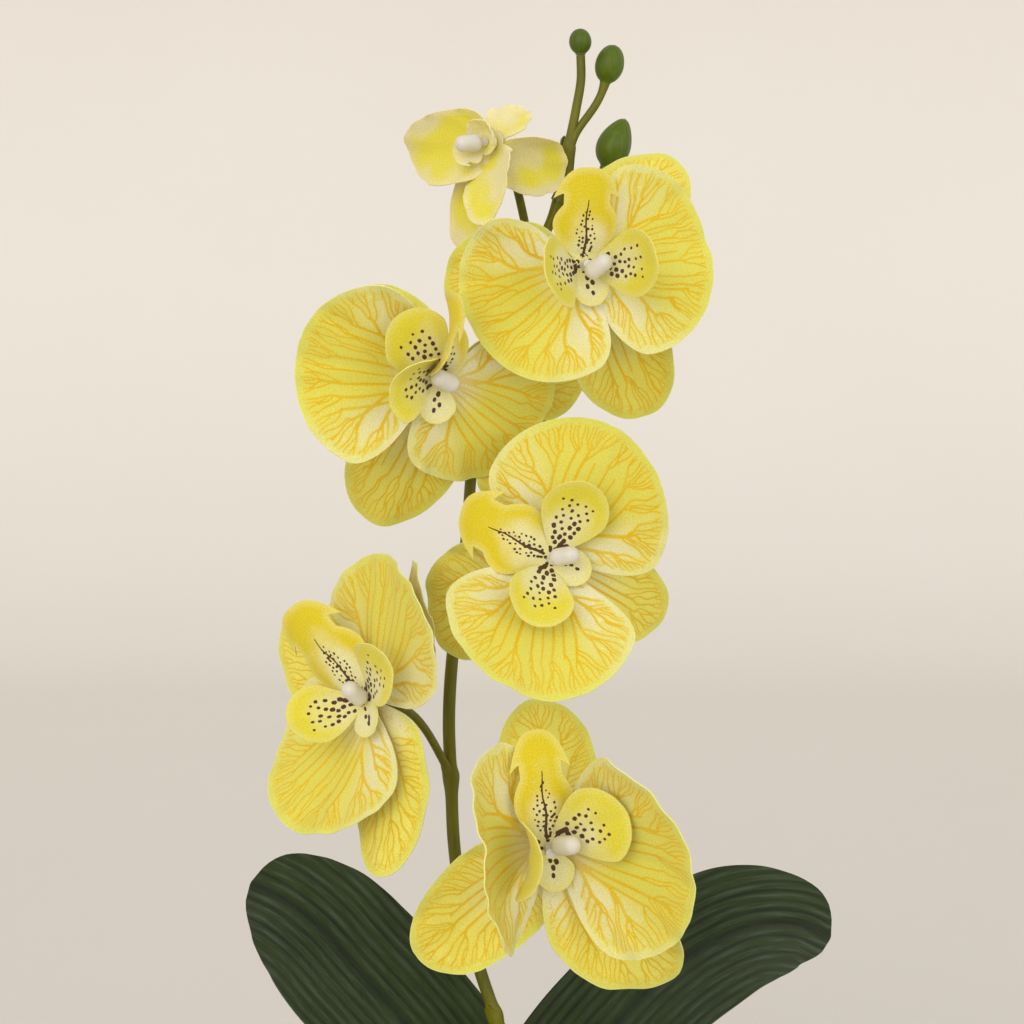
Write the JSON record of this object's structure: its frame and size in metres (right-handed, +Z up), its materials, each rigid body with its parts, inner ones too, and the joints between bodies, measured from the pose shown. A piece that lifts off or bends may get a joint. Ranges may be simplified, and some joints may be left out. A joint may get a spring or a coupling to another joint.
{
  "type": "potted orchid",
  "caption": "Artificial moth orchid with ribbed strap leaves and an arching spike of large yellow speckled blooms and green buds, standing in bark in a plain round tapered pot.",
  "frame": {"origin": "middle of the pot's flat underside", "axes": "+Z up along the pot's axis, -Y the way the blooms face, +X to the right as one looks at the blooms"},
  "size_m": [0.2048, 0.1388, 0.465],
  "materials": {
    "glaze": "plain off-white glaze, softly glossy",
    "bark": "rough brown chips",
    "leaf": "dark green coated fabric with pressed ribs",
    "stem": "olive green satin plastic",
    "bud": "green plastic with a soft shine",
    "sepal": "deep yellow fabric with a printed net of veins",
    "petal": "pale to lemon yellow fabric with printed golden veins",
    "lip": "yellow fabric printed with dark maroon dots",
    "column": "white plastic with a soft shine"
  },
  "bodies": {
    "root": {"pot": "glaze", "potting_bark": "bark", "flower_spike": "stem", "bud_1": "bud", "bud_2": "bud", "bud_3": "bud", "leaf_left": "leaf", "leaf_right": "leaf", "leaf_low_left": "leaf", "leaf_low_right": "leaf", "bloom_1_sepals": "sepal", "bloom_1_petals": "petal", "bloom_1_lip": "lip", "bloom_1_column": "column", "bloom_2_sepals": "sepal", "bloom_2_petals": "petal", "bloom_2_lip": "lip", "bloom_2_column": "column", "bloom_3_sepals": "sepal", "bloom_3_petals": "petal", "bloom_3_lip": "lip", "bloom_3_column": "column", "bloom_4_sepals": "sepal", "bloom_4_petals": "petal", "bloom_4_lip": "lip", "bloom_4_column": "column", "bloom_5_sepals": "sepal", "bloom_5_petals": "petal", "bloom_5_lip": "lip", "bloom_5_column": "column", "bloom_6_sepals": "sepal", "bloom_6_petals": "petal", "bloom_6_lip": "lip", "bloom_6_column": "column"}
  },
  "joints": []
}
